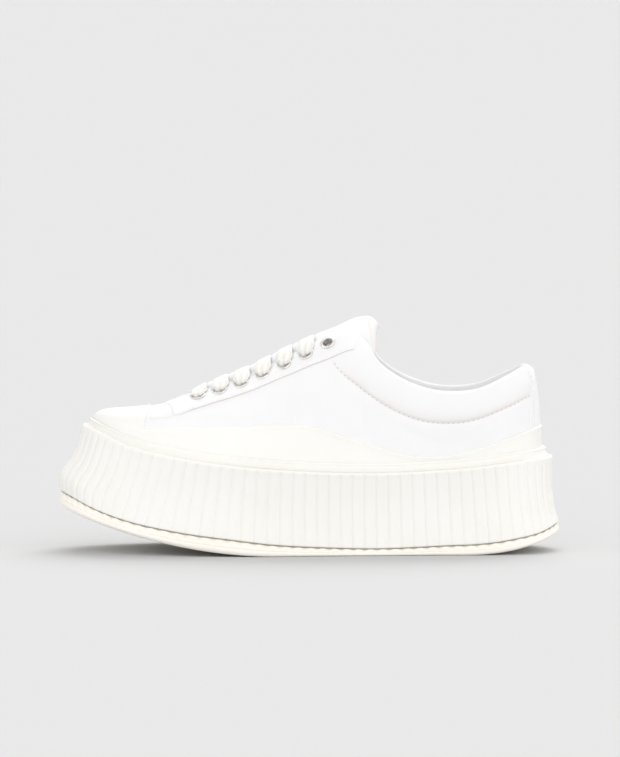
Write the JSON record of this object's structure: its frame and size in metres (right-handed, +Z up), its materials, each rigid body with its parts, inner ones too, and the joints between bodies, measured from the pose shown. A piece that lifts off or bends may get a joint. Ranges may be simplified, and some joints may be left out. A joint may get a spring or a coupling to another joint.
{
  "type": "platform sneaker",
  "caption": "Low lace-up canvas shoe with a rubber toe cap and mudguard, a padded collar and tongue, and a tall flared sole with a ribbed wall that stands flat on the floor",
  "frame": {"origin": "on the floor under the middle of the shoe's length and width", "axes": "+X points to the toe, +Y to the wearer's left, which is this left shoe's outer side, and +Z up"},
  "size_m": [0.2952, 0.1148, 0.1392],
  "materials": {
    "canvas": "matt plain-weave cotton canvas",
    "guard_rubber": "satin smooth rubber",
    "wall_rubber": "satin moulded rubber",
    "outsole_rubber": "matt moulded rubber",
    "lining": "soft brushed cloth",
    "lace_cotton": "flat braided cotton",
    "eyelet_metal": "polished nickel"
  },
  "bodies": {
    "root": {"outsole": "outsole_rubber", "midsole": "wall_rubber", "foxing_band": "wall_rubber", "upper": "canvas", "rubber_guard": "guard_rubber", "insole": "lining", "tongue": "canvas", "eyelet_lateral_1": "eyelet_metal", "eyelet_lateral_2": "eyelet_metal", "eyelet_lateral_3": "eyelet_metal", "eyelet_lateral_4": "eyelet_metal", "eyelet_lateral_5": "eyelet_metal", "eyelet_lateral_6": "eyelet_metal", "eyelet_lateral_7": "eyelet_metal", "eyelet_medial_1": "eyelet_metal", "eyelet_medial_2": "eyelet_metal", "eyelet_medial_3": "eyelet_metal", "eyelet_medial_4": "eyelet_metal", "eyelet_medial_5": "eyelet_metal", "eyelet_medial_6": "eyelet_metal", "eyelet_medial_7": "eyelet_metal", "lace_bar_1": "lace_cotton", "lace_bar_2": "lace_cotton", "lace_bar_3": "lace_cotton", "lace_bar_4": "lace_cotton", "lace_bar_5": "lace_cotton", "lace_bar_6": "lace_cotton"}
  },
  "joints": []
}
